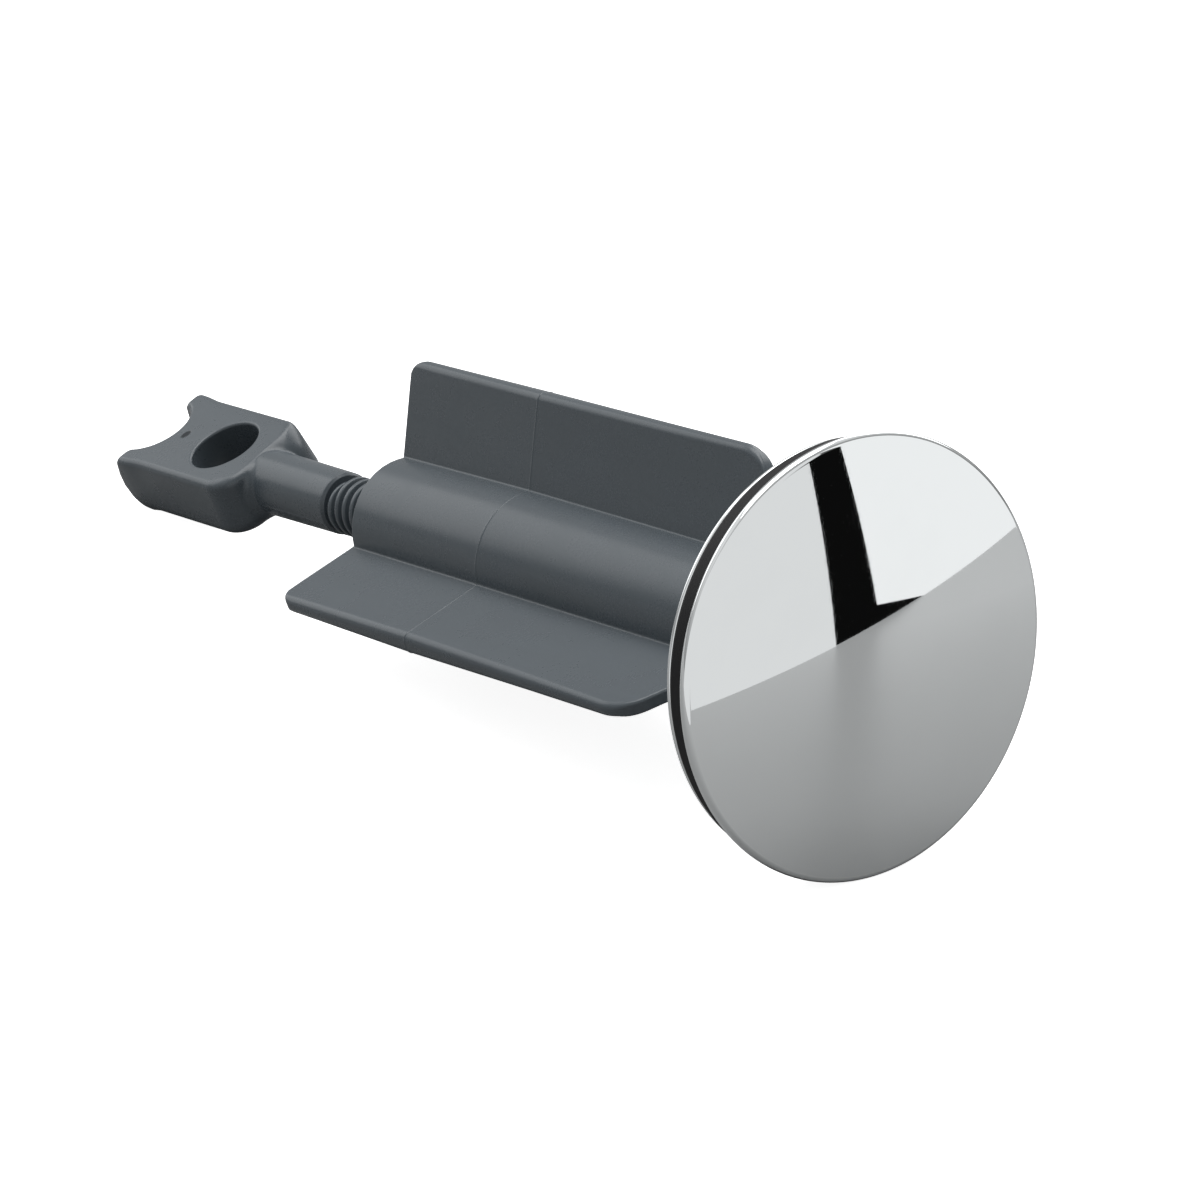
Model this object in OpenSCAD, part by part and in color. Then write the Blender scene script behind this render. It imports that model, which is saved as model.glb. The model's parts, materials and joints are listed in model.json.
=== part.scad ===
// Pop-up basin waste stopper, lying on a table as it does when it is taken out of the drain.
// Each sub-part is drawn along its own axis, Z, with the cap at the top and the eye at the
// bottom. Height zero is the underside of the cap's plate, where the seal begins. The lie
// module then lays the whole stopper down, so that it rests on the cap's rim, the far lower
// fin and the near corner of the eye. The functions in the Hidden section find that pose from
// the sizes.

/* [Cap] */
// Diameter of the cap
cap_d = 40; // [36:0.5:46]
// Thickness of the cap's plate at its round edge
plate_t = 1.1; // [0.8:0.1:2]
// Rise of the domed face above the round edge
dome_h = 1.0; // [0.4:0.1:2]
// Diameter of the thin flange behind the seal
flange_d = 38.2; // [35:0.1:39]
// Thickness of that flange
flange_t = 0.45; // [0.3:0.05:1]
// Width of the groove that holds the seal
groove_w = 2.2; // [1.8:0.1:3]
// Diameter of the stud that holds the fin body
stud_d = 8; // [5:0.5:9]
// Length of the stud
stud_l = 10; // [6:0.5:14]

/* [Seal] */
// Outer diameter of the rubber seal
seal_d = 38.6; // [36:0.1:39.5]
// Width of the ring, from its hole to its outer edge
seal_w = 3.7; // [2.5:0.1:5]
// Radius of the seal's rounded outer corners
seal_round = 0.4; // [0.2:0.1:0.8]

/* [Fin body] */
// Length of the fin body, from the back of the cap to its open end
body_l = 66.35; // [55:0.05:80]
// Diameter of the tube at the mould's parting line
tube_d = 13.2; // [11:0.1:16]
// Diameter over the fins
fins_d = 31.8; // [28:0.1:33]
// Thickness of a fin at the parting line
fin_t = 2.2; // [1.8:0.1:3]
// Distance of the parting line from the open end
parting_l = 21; // [15:0.5:30]
// Draft of the tube and the fins, each way from the parting line, in degrees
draft = 0.7; // [0:0.1:1.2]
// Length of a fin along its outer edge, up to where the slanted end would start
fin_l = 53.8; // [40:0.1:56]
// Slant of the fins' ends under the cap, in degrees
fin_slant = 23; // [5:1:35]
// Radius of the fins' corners at the open end
fin_corner_r = 1.8; // [1:0.1:3]
// Radius of the fins' corners under the cap
fin_shoulder_r = 4.2; // [2:0.1:5]
// Radius of the fins' outer edges
fin_edge_r = 0.6; // [0.2:0.1:0.8]
// Depth of the bore that takes the stem
bore_l = 37; // [30:0.5:45]
// Chamfer round the mouth of the bore
mouth_chamfer = 0.4; // [0.1:0.1:0.6]

/* [Adjusting stem] */
// Diameter of the stem
stem_d = 6.25; // [5:0.05:7]
// Length of the stem inside the fin body
stem_in = 25.5; // [15:0.5:28]
// Length of the stem from the fin body to the shoulder of the eye
stem_out = 21.9; // [18:0.1:30]
// Width of the eye's plate
eye_w = 12.5; // [11:0.1:14]
// Thickness of the eye's plate
eye_t = 6.6; // [6.3:0.1:8]
// Diameter of the hole for the lever
hole_d = 7.4; // [6:0.1:8.4]
// Distance of the hole from the shoulder
hole_l = 7.6; // [6:0.1:10]
// Distance of the half-round notch from the hole
notch_pitch = 12.9; // [10:0.1:15]
// Diameter of the notch
notch_d = 7.4; // [6:0.1:9]
// Radius of the eye's shoulder corners
shoulder_r = 3.6; // [2:0.1:4.5]
// Radius of the corners at the tips of the notch
tip_r = 1.1; // [0.4:0.1:1.2]
// Radius of the eye's long edges
eye_edge_r = 1.8; // [0.2:0.1:2]
// Chamfer at the stem's inner end
stem_chamfer = 0.6; // [0.2:0.1:1]
// Radius of the flare between the stem and the shoulder
flare_r = 1.6; // [0.5:0.1:2]
// Turn of the eye about the axis, away from the top fin, in degrees
eye_turn = 35.6; // [0:0.1:90]

/* [Fits] */
// Radial clearance of the stem in its bore
stem_clear = 0.05; // [0.02:0.01:0.1]
// Radial clearance of the cap's stud in the fin body
stud_clear = 0.05; // [0.02:0.01:0.1]
// Clearance of the seal in its groove, on each side
seal_clear = 0.1; // [0.05:0.01:0.2]
// Room left beyond the end of the stud
stud_room = 0.5; // [0.2:0.1:1]

/* [Hidden] */
$fn = 96;
// Overrun of every cut past the surface that it opens
over = 0.5;
// The cap
cap_r = cap_d / 2;
rim_r = plate_t / 2;
face_r = cap_r - rim_r;
dome_r = (face_r * face_r + dome_h * dome_h) / (2 * dome_h);
flange_r = flange_d / 2;
stud_r = stud_d / 2;
cap_back = -groove_w - flange_t;
// The seal
seal_r = seal_d / 2;
seal_t = groove_w - 2 * seal_clear;
seal_hole_r = seal_r - seal_w;
groove_floor_r = seal_hole_r - seal_clear;
// The fin body
fin_count = 3;
open_end = cap_back - body_l;
parting = open_end + parting_l;
tube_r = tube_d / 2;
fins_r = fins_d / 2;
bore_r = stem_d / 2 + stem_clear;
stud_bore_r = stud_r + stud_clear;
stud_bore_end = cap_back - stud_l - stud_room;
shoulder_z = open_end + fin_l;
shoulder_run = fin_shoulder_r * tan((90 - fin_slant) / 2);
fin_root_r = (tube_r + bore_r) / 2;
slant_rise = (fins_r - fin_root_r) * tan(fin_slant);
fin_top = shoulder_z + slant_rise;
// The stem
stem_r = stem_d / 2;
stem_top = open_end + stem_in;
eye_top = open_end - stem_out;
hole_z = eye_top - hole_l;
notch_z = hole_z - notch_pitch;
half_w = eye_w / 2;
half_t = eye_t / 2;
// The pose: the axis rises by the tilt to the cap, and the top fin leans away by the lean
steepest = 30;
lie_lean = level_lean();
lie_tilt = level_tilt(lie_lean);
rim_x = face_r * sin(lie_tilt) + plate_t * cos(lie_tilt);
eye_high = (half_w - tip_r) * abs(sin(eye_turn - lie_lean)) + half_t * abs(cos(eye_turn - lie_lean));
eye_x = notch_z * cos(lie_tilt) - eye_high * sin(lie_tilt);
mid_x = (rim_x + eye_x) / 2;

// Half of a drafted width, at a height, from its half width at the parting line
function drafted(half, z) = half - abs(z - parting) * tan(draft);

// Level of the lowest point of a corner that is rounded by end_r at its lower end and by
// edge_r along its edges, and is no wider than widest each way. down says how far its outer,
// side and end directions point down.
function corner_level(outer, side, widest, end_z, end_r, edge_r, down) = min([
    for (a = [0 : 3 : 90]) let (
        reach = outer - end_r * (1 - cos(a)),
        past = max(0, reach - outer + edge_r),
        breadth = min(widest, side - edge_r + sqrt(edge_r * edge_r - past * past))
    ) down[2] * (end_z + end_r * (1 - sin(a))) - down[0] * reach - down[1] * breadth
]);

// Levels of the cap's rim, the near corner of the eye and the corner of the far lower fin
function rim_level(tilt) = rim_r * sin(tilt) - face_r * cos(tilt) - rim_r;
function eye_level(tilt, lean) = corner_level(
    half_w, half_t, half_t, notch_z, tip_r, eye_edge_r,
    [abs(sin(eye_turn - lean)) * cos(tilt), abs(cos(eye_turn - lean)) * cos(tilt), sin(tilt)]
);
function fin_level(tilt, lean) = let (off = 180 / fin_count - lean) corner_level(
    fins_r, fin_t / 2, drafted(fin_t / 2, open_end + fin_corner_r),
    open_end, fin_corner_r, fin_edge_r,
    [cos(off) * cos(tilt), abs(sin(off)) * cos(tilt), sin(tilt)]
);

// Tilt that brings the eye level with the rim, found by halving
function level_tilt(lean, low = 0, high = steepest, steps = 18) =
    let (mid = (low + high) / 2)
    steps == 0 ? mid
    : eye_level(mid, lean) > rim_level(mid) ? level_tilt(lean, mid, high, steps - 1)
    : level_tilt(lean, low, mid, steps - 1);

// Lean that brings the fin level with them
function level_lean(low = 0, high = 180 / fin_count, steps = 18) =
    let (mid = (low + high) / 2, tilt = level_tilt(mid))
    steps == 0 ? mid
    : fin_level(tilt, mid) > rim_level(tilt) ? level_lean(mid, high, steps - 1)
    : level_lean(low, mid, steps - 1);

// Lays the stopper down: its axis along X, the cap towards +X, the top fin upwards
module lie() {
    translate([-mid_x, 0, -rim_level(lie_tilt)])
        rotate([0, -lie_tilt, 0])
        rotate([-lie_lean, 0, 0])
        rotate([90, 0, 90])
        children();
}

// Rectangle about the middle, with rounded corners
module rounded_rect(w, t, r) {
    square([w - 2 * r, t], center = true);
    square([w, t - 2 * r], center = true);
    for (x = [-1, 1], y = [-1, 1])
        translate([x * (w / 2 - r), y * (t / 2 - r)]) circle(r = r, $fn = 32);
}

// Half section of the cap: round edge, domed face, groove, flange and stud
module cap_section() {
    square([face_r, plate_t]);
    translate([face_r, rim_r]) circle(r = rim_r, $fn = 48);
    intersection() {
        translate([0, plate_t + dome_h - dome_r]) circle(r = dome_r, $fn = 720);
        translate([0, rim_r]) square([face_r, plate_t + dome_h]);
    }
    translate([0, cap_back]) square([groove_floor_r, -cap_back]);
    translate([0, cap_back]) square([flange_r, flange_t]);
    translate([0, cap_back - stud_l]) square([stud_r, stud_l]);
}

module cap() {
    color("gainsboro") lie() rotate_extrude() cap_section();
}

// Half section of the seal, with its two outer corners rounded
module seal_section() {
    translate([seal_hole_r, -seal_clear - seal_t])
        square([seal_r - seal_round - seal_hole_r, seal_t]);
    translate([seal_hole_r, -seal_clear - seal_t + seal_round])
        square([seal_r - seal_hole_r, seal_t - 2 * seal_round]);
    for (z = [-seal_clear - seal_round, -seal_clear - seal_t + seal_round])
        translate([seal_r - seal_round, z]) circle(r = seal_round, $fn = 32);
}

module seal_ring() {
    color([0.09, 0.09, 0.1]) lie() rotate_extrude() seal_section();
}

// Half section of the tube, widest at the parting line, with the two blind bores
module tube_section() {
    end_r = drafted(tube_r, open_end);
    difference() {
        polygon([
            [0, open_end],
            [end_r - mouth_chamfer, open_end],
            [end_r, open_end + mouth_chamfer],
            [tube_r, parting],
            [drafted(tube_r, cap_back), cap_back],
            [0, cap_back]
        ]);
        translate([-over, open_end - over]) square([bore_r + over, bore_l + over]);
        translate([-over, stud_bore_end])
            square([stud_bore_r + over, cap_back - stud_bore_end + over]);
        polygon([
            [0, open_end - over],
            [bore_r + mouth_chamfer + over, open_end - over],
            [bore_r, open_end + mouth_chamfer],
            [0, open_end + mouth_chamfer]
        ]);
    }
}

// Outline of a fin, radius by height: square end below, slanted end above, round corners
module fin_outline() {
    polygon([
        [fin_root_r, open_end],
        [fins_r - fin_corner_r, open_end],
        [fins_r, open_end + fin_corner_r],
        [fins_r, shoulder_z - shoulder_run],
        [fins_r - shoulder_run * cos(fin_slant), shoulder_z + shoulder_run * sin(fin_slant)],
        [fin_root_r, fin_top]
    ]);
    translate([fins_r - fin_corner_r, open_end + fin_corner_r]) circle(r = fin_corner_r);
    translate([fins_r - fin_shoulder_r, shoulder_z - shoulder_run])
        circle(r = fin_shoulder_r);
}

// One fin on the +Y side, thickest at the parting line, with its outer edges rounded
module fin() {
    half = fin_t / 2;
    low = drafted(half, open_end);
    high = drafted(half, fin_top);
    intersection() {
        rotate([90, 0, 90]) linear_extrude(fin_t, center = true) fin_outline();
        rotate([-90, 0, 0]) linear_extrude(fins_r + over)
            polygon([
                [-low, -open_end],
                [low, -open_end],
                [half, -parting],
                [high, -fin_top],
                [-high, -fin_top],
                [-half, -parting]
            ]);
        translate([0, 0, open_end]) linear_extrude(fin_top - open_end) {
            translate([-half, 0]) square([fin_t, fins_r - fin_edge_r]);
            translate([fin_edge_r - half, 0]) square([fin_t - 2 * fin_edge_r, fins_r]);
            for (side = [-1, 1])
                translate([side * (half - fin_edge_r), fins_r - fin_edge_r])
                    circle(r = fin_edge_r, $fn = 32);
        }
    }
}

module fin_body() {
    color([0.36, 0.385, 0.41]) lie() {
        rotate_extrude() tube_section();
        for (i = [0 : fin_count - 1]) rotate([0, 0, i * 360 / fin_count]) fin();
    }
}

// Outline of the eye, width by height: round shoulders above, short tips below
module eye_outline() {
    difference() {
        union() {
            polygon([
                [-half_w, notch_z + tip_r],
                [-half_w, eye_top - shoulder_r],
                [shoulder_r - half_w, eye_top],
                [half_w - shoulder_r, eye_top],
                [half_w, eye_top - shoulder_r],
                [half_w, notch_z + tip_r],
                [half_w - tip_r, notch_z],
                [tip_r - half_w, notch_z]
            ]);
            for (side = [-1, 1]) {
                translate([side * (half_w - shoulder_r), eye_top - shoulder_r])
                    circle(r = shoulder_r);
                translate([side * (half_w - tip_r), notch_z + tip_r])
                    circle(r = tip_r, $fn = 32);
            }
        }
        translate([0, notch_z]) circle(r = notch_d / 2);
        translate([0, hole_z]) circle(r = hole_d / 2);
    }
}

// Concave flare between the stem and the shoulder, as a half section
module flare_section() {
    difference() {
        translate([0, eye_top - shoulder_r]) square([stem_r + flare_r, shoulder_r + flare_r]);
        translate([stem_r + flare_r, eye_top + flare_r]) circle(r = flare_r, $fn = 48);
    }
}

module adjusting_stem() {
    color([0.38, 0.405, 0.43]) lie() rotate([0, 0, eye_turn]) {
        translate([0, 0, eye_top - over])
            cylinder(r = stem_r, h = stem_top - stem_chamfer - eye_top + over);
        translate([0, 0, stem_top - stem_chamfer])
            cylinder(r1 = stem_r, r2 = stem_r - stem_chamfer, h = stem_chamfer);
        intersection() {
            union() {
                rotate([90, 0, 0]) linear_extrude(eye_t, center = true) eye_outline();
                rotate_extrude() flare_section();
            }
            translate([0, 0, notch_z])
                linear_extrude(eye_top + flare_r - notch_z)
                rounded_rect(eye_w, eye_t, eye_edge_r);
        }
    }
}

cap();
seal_ring();
fin_body();
adjusting_stem();
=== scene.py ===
"""Looks of the basin waste stopper: turned chrome cap, rubber seal, moulded fin body and screw stem.

All sizes are in the property groups below. Every shape is worked out along the stopper's own
axis, in millimetres: Z runs to the cap, zero is the underside of the cap's plate, X points
sideways and Y along the top fin. place() then lays the points down where the frame says.
"""

import json

import bmesh
import bpy
import numpy as np
from bpy.props import FloatProperty, FloatVectorProperty, IntProperty, PointerProperty
from mathutils import Euler, Matrix, Vector


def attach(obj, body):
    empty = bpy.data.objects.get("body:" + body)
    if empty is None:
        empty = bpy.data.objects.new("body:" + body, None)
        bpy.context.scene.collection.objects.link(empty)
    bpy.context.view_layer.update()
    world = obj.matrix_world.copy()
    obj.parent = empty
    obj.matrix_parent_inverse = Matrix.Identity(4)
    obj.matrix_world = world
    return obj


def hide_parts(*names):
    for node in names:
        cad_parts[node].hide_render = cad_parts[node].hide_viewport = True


bl_info = {
    "name": "Basin waste stopper",
    "version": (1, 0, 0),
    "blender": (4, 5, 0),
    "location": "3D View > Sidebar > Stopper",
    "description": "Builds the detailed pieces and the studio of a pop-up basin waste stopper",
    "category": "Object",
}

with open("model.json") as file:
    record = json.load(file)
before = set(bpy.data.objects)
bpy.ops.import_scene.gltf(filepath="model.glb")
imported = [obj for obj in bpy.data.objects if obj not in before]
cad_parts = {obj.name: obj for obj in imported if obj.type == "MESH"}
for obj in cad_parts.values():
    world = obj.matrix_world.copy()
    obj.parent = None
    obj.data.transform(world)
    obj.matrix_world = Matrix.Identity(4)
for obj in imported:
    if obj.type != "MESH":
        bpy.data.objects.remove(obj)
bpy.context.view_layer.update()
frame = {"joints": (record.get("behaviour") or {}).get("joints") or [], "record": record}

# Where the stopper lies


def unit(v):
    """The vector at length one."""
    v = np.asarray(v, float)
    return v / np.linalg.norm(v)


mounts = {m["name"]: m for m in frame["record"]["mounts"]}
screw = next(j for j in frame["joints"] if j["name"] == "thread_turn")
# Heights on the axis, in millimetres: the groove's far wall, the cap's back, the tube's open end
GROOVE_WALL = -2.2
CAP_BACK = -2.65
OPEN_END = -69.0
# The stopper's axis, the directions of the eye's thickness and width, and their turn to the fins
AXIS = unit(screw["axis"])
hole_axis = np.array(mounts["lever_eye"]["axis"])
EYE_T = unit(hole_axis - np.dot(hole_axis, AXIS) * AXIS)
EYE_W = np.cross(EYE_T, AXIS)
EYE_TURN = np.radians(35.6)
UP = np.cos(EYE_TURN) * EYE_T + np.sin(EYE_TURN) * EYE_W
SIDE = np.cos(EYE_TURN) * EYE_W - np.sin(EYE_TURN) * EYE_T
# Underside of the cap's plate on the axis, in millimetres: the seal's mount is half a groove below
ORIGIN = np.array(mounts["seal_rim"]["pos_m"]) * 1000 - GROOVE_WALL / 2 * AXIS
LAY = np.stack([SIDE, UP, AXIS])


def place(points):
    """Own millimetres to the row frame's metres: origin + x side + y up + z axis."""
    return (np.asarray(points, float).reshape(-1, 3) @ LAY + ORIGIN) / 1000


def from_eye(points):
    """Eye coordinates (w, s, t), along its width, the axis and its thickness, to own x, y, z."""
    w, s, t = np.asarray(points, float).reshape(-1, 3).T
    across, up = np.cos(EYE_TURN), np.sin(EYE_TURN)
    return np.stack([w * across - t * up, w * up + t * across, s], 1)


# Sizes and colours


def length(name, mm, text):
    """A length, written here in millimetres and kept in metres as Blender does."""
    return FloatProperty(name=name, description=text, default=mm / 1000, min=0, unit="LENGTH", precision=5)


def angle(name, degrees, text):
    return FloatProperty(name=name, description=text, default=np.radians(degrees), subtype="ANGLE")


def colour(name, rgb, text):
    return FloatVectorProperty(
        name=name, description=text, default=rgb, size=3, min=0, max=1, subtype="COLOR"
    )


def share(name, value, text):
    return FloatProperty(name=name, description=text, default=value, min=0, max=1, subtype="FACTOR")


def strength(name, value, text):
    return FloatProperty(name=name, description=text, default=value, min=0)


class StopperCapSizes(bpy.types.PropertyGroup):
    diameter: length("Diameter", 40, "Diameter of the cap")
    plate: length("Plate thickness", 1.1, "Thickness of the plate at its half-round edge")
    rise: length("Rise of the face", 1.0, "Height of the domed face above the edge")
    flange: length("Flange diameter", 38.2, "Diameter of the flange behind the seal")
    flange_thickness: length("Flange thickness", 0.45, "Thickness of the flange behind the seal")
    flange_round: length("Flange edge radius", 0.16, "Radius of the flange's edges")
    groove: length("Groove width", 2.2, "Width of the groove that holds the seal")
    groove_floor: length("Groove floor radius", 15.5, "Radius of the bottom of the groove")
    stud: length("Stud diameter", 8, "Diameter of the stud behind the cap")
    stud_length: length("Stud length", 10, "Length of the stud behind the cap")
    segments: IntProperty(name="Segments", description="Faces round the cap", default=288, min=64)
    metal: colour("Chrome colour", (0.84, 0.865, 0.87), "Colour of the chrome plating")
    gloss: share("Chrome roughness", 0.008, "Roughness of the clean chrome")
    smudge: share("Smudge", 0.02, "How much rougher the smudges are")
    scratch: share("Scratch", 0.01, "How much rougher the hairline scratches are")


class StopperSealSizes(bpy.types.PropertyGroup):
    diameter: length("Diameter", 38.6, "Outer diameter of the rubber ring")
    width: length("Width", 3.7, "From the ring's hole to its outer edge")
    clearance: length("Clearance", 0.1, "Gap between the ring and each wall of its groove")
    corner: length("Corner radius", 0.4, "Radius of the ring's outer corners")
    segments: IntProperty(name="Segments", description="Faces round the ring", default=240, min=64)
    rubber: colour("Rubber colour", (0.006, 0.006, 0.007), "Colour of the rubber")
    satin: share("Rubber roughness", 0.55, "Roughness of the rubber")


class StopperBodySizes(bpy.types.PropertyGroup):
    length: length("Length", 66.35, "From the back of the cap to the open end")
    tube: length("Tube diameter", 13.2, "Diameter of the tube at the parting line")
    fins: length("Diameter over fins", 31.8, "Diameter over the three fins")
    fin: length("Fin thickness", 2.2, "Thickness of a fin at the parting line")
    parting: length("Parting line", 21, "Distance of the mould's parting line from the open end")
    flash: length("Flash height", 0.035, "Height of the fine ridge along the parting line")
    draft: angle("Draft", 0.7, "Draft of the mould, each way from the parting line")
    straight: length("Fin length", 53.8, "Length of a fin's outer edge to where the slant would start")
    slant: angle("Slant", 23, "Slant of the fins' ends under the cap")
    corner: length("Corner radius", 1.8, "Radius of the fins' corners at the open end")
    shoulder: length("Shoulder radius", 4.2, "Radius of the fins' corners under the cap")
    edge: length("Edge radius", 0.85, "Largest radius along the fins' outer edges")
    end_edge: length("End edge radius", 0.15, "Radius along the fins' edges at the open end")
    slant_edge: length("Slant edge radius", 0.28, "Radius along the edges of the slanted ends")
    root: length("Root fillet", 0.16, "Radius between the fins and the tube")
    tube_end: length("Tube end radius", 0.35, "Radius round the tube's open end")
    cap_end: length("Cap end radius", 0.2, "Radius round the tube's end at the cap")
    bore: length("Bore diameter", 6.35, "Diameter of the bore for the stem")
    bore_depth: length("Bore depth", 37, "Depth of the bore for the stem")
    mouth: length("Mouth radius", 0.4, "Radius round the mouth of the bore")
    socket: length("Socket diameter", 8.1, "Diameter of the bore for the cap's stud")
    socket_depth: length("Socket depth", 10.5, "Depth of the bore for the cap's stud")
    plastic: colour("Plastic colour", (0.07, 0.086, 0.099), "Colour of the fin body's plastic")
    flow: share("Flow clouds", 0.06, "How much lighter and darker the clouds of flow are")
    satin: share("Plastic roughness", 0.27, "Roughness of the clean plastic")


class StopperStemSizes(bpy.types.PropertyGroup):
    neck: length("Neck diameter", 6.25, "Diameter of the plain neck")
    neck_flare: length("Neck swelling", 0.1, "How much thicker the neck's radius is at the eye")
    top: length("Inner end", 25.5, "Length of the stem inside the fin body")
    out: length("Outer length", 21.9, "From the fin body's open end to the eye's shoulder")
    eye_width: length("Eye width", 12.5, "Width of the eye's plate")
    eye_thickness: length("Eye thickness", 6.6, "Thickness of the eye's plate")
    eye_edge: length("Upper edge radius", 0.75, "Radius of the long edges on the eye's upper face")
    eye_under: length("Lower edge radius", 1.7, "Radius of the long edges on the eye's lower face")
    eye_parting: length("Eye parting depth", 1.6, "How far the eye's parting line lies below its middle")
    eye_draft: share("Eye draft", 0.09, "Lean of the eye's sides above the parting line, per length")
    shoulder_edge: length("Shoulder edge width", 1.8, "Width of the soft edge over the higher shoulder")
    shoulder_drop: length("Shoulder edge depth", 2.7, "Depth of the soft edge over the higher shoulder")
    tip_corner: length("Tip corner radius", 1.0, "Radius of a tip's corners, seen on the face")
    tip_edge: length("Tip edge radius", 0.72, "Radius of the edges at the tips")
    tip_under: length("Lower tip edge", 1.7, "How far the round of the tips' lower edges reaches up")
    tip_bow: share("Tip bow", 0.05, "How fast the tips' ends bow back towards the lower face")
    tip_crown: length("Tip crown", 1.05, "How far the tips' ends stand out at half their height")
    tip_rise: share("Tip rise", 0.2, "How much thinner the eye's lower half is at the tips' ends")
    under_width: length("Lower edge width", 2.1, "How far the round of the lower long edges reaches in")
    notch_edge: length("Notch edge radius", 0.55, "Radius of the notch's edges")
    hole: length("Hole diameter", 7.4, "Diameter of the lever's hole")
    hole_edge: length("Hole edge radius", 0.28, "Radius round the hole's rims")
    hole_depth: length("Hole distance", 7.6, "From the shoulder to the middle of the hole")
    notch: length("Notch diameter", 7.4, "Diameter of the half-round notch")
    notch_pitch: length("Notch distance", 12.9, "From the hole to the middle of the notch")
    tip_reach: length("Tip reach", 0.1, "From the notch's middle to the flat ends of the tips")
    shoulder: length("Shoulder radius", 3.6, "Middle radius of the eye's two shoulder corners")
    shoulder_skew: length("Shoulder skew", 0.25, "How far each shoulder's radius is from the middle one")
    fillet: length("Fillet", 0.9, "Fillet between the eye's lower shoulder and the neck")
    small_fillet: length("Small fillet", 0.3, "Fillet between the eye's higher shoulder and the neck")
    thread_start: length("Thread start", 9.7, "Distance of the thread's first groove from the open end")
    core: length("Thread core", 4.5, "Diameter at the bottom of the thread")
    crest: length("Thread crest", 6.05, "Diameter over the thread")
    pitch: length("Thread pitch", 1.25, "Pitch of the right-hand thread")
    crest_out: length("Crest distance", 7.55, "Distance from the open end where the phase is taken")
    crest_angle: angle("Thread phase", 175.2, "Where the crest lies at that distance, from the side")
    flash: length("Flash height", 0.045, "Height of the fine ridge along the neck's parting line")
    flash_turn: angle("Flash turn", 4, "Turn of the neck's parting line from the eye's width")
    gate: length("Gate distance", 36.6, "From the fin body's open end to the mould gate's scar")
    plastic: colour("Plastic colour", (0.071, 0.087, 0.1), "Colour of the stem's plastic")
    flow: share("Flow clouds", 0.05, "How much lighter and darker the clouds of flow are")
    satin: share("Plastic roughness", 0.27, "Roughness of the clean plastic")


class StopperStageSizes(bpy.types.PropertyGroup):
    floor: length("Floor width", 6000, "Width of the pale floor")
    light: strength("Light", 6.0, "Power of the soft light overhead, in watts")
    sky: strength("Surround", 0.8, "Strength of the white surround")
    low_sky: share("Low surround", 0.35, "Strength at the horizon, as a share of the strength above")
    dark_side: share("Dark side", 0.3, "Strength on the cap's side, as a share of the rest")
    floor_tone: share("Floor tone", 0.42, "How much of the light the floor throws back onto the stopper")
    floor_seen: share("Seen floor", 0.93, "Tone of the floor that the camera sees")
    floor_glow: strength("Floor glow", 0.9, "How far the floor is overexposed")
    lens: FloatProperty(name="Lens", description="Focal length, mm", default=157.839, min=1)
    camera_at: FloatVectorProperty(
        name="Camera place",
        description="Where the camera stands, in the stopper's own side, up and axis directions",
        default=(-0.2959666, 0.0758541, 0.3413459),
        size=3,
        subtype="TRANSLATION",
        unit="LENGTH",
    )
    camera_turn: FloatVectorProperty(
        name="Camera turn",
        description="Turn of the camera in the stopper's own directions",
        default=tuple(np.radians([-13.25224, -36.97575, 6.66466])),
        size=3,
        subtype="EULER",
    )


class InMillimetres:
    """Reads a property group's lengths in millimetres and leaves its other values as they are."""

    def __init__(self, group):
        self.group = group

    def __getattr__(self, key):
        value = getattr(self.group, key)
        if self.group.bl_rna.properties[key].unit != "LENGTH":
            return value
        return value * 1000


# Surfaces


def grid_faces(rows, cols, around=True, closed=False):
    """Quads between neighbouring rows and columns. around joins the last column to the first, and
    closed the last row to the first."""
    i = np.arange(rows if closed else rows - 1)[:, None]
    j = np.arange(cols if around else cols - 1)[None, :]
    a, b = i * cols, ((i + 1) % rows) * cols
    k = (j + 1) % cols
    return np.stack([a + j, a + k, b + k, b + j], -1).reshape(-1, 4)


def rounded(corners, steps=6, ease=0.06):
    """A profile of straight lines with round corners, as points (radius, height). Each corner is
    (r, z, radius). Its arc is tangent to both lines, and a point just before and after it keeps
    the flats flat when the surface is shaded smooth."""
    c = np.array(corners, float)
    out = [c[0, :2]]
    for before, here, after in zip(c[:-2], c[1:-1], c[2:]):
        p, a, b = here[:2], unit(before[:2] - here[:2]), unit(after[:2] - here[:2])
        radius = here[2]
        half = np.arccos(np.clip(a @ b, -1, 1)) / 2
        reach = radius / np.tan(half)
        centre = p + unit(a + b) * radius / np.sin(half)
        t = np.linspace(0, 1, steps + 1)[:, None]
        chord = (p + a * reach) * (1 - t) + (p + b * reach) * t - centre
        arc = centre + radius * chord / np.linalg.norm(chord, axis=1)[:, None]
        out += [p + a * (reach + ease), *arc, p + b * (reach + ease)]
    return np.array([*out, c[-1, :2]])


def about_axis(r, a, z):
    """Points x = r cos(a), y = r sin(a), z = z."""
    return np.stack(np.broadcast_arrays(r * np.cos(a), r * np.sin(a), z), -1)


def turned(profile, turns):
    """Each point (r, z) of a profile carried round the axis to the turns given."""
    return about_axis(profile[:, 0, None], turns, profile[:, 1, None])


def full_turn(segments):
    """Even turns once round the axis."""
    return np.arange(segments) * 2 * np.pi / segments


def smoothstep(x):
    """3 x^2 - 2 x^3, which climbs smoothly from 0 at x = 0 to 1 at x = 1 and is flat outside."""
    x = np.clip(x, 0, 1)
    return x * x * (3 - 2 * x)


def round_both(a, b, r):
    """Distance to what lies inside both of two surfaces, with the edge between them rounded by r."""
    u, v = a + r, b + r
    return np.minimum(np.maximum(u, v), 0) + np.hypot(np.maximum(u, 0), np.maximum(v, 0)) - r


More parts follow.
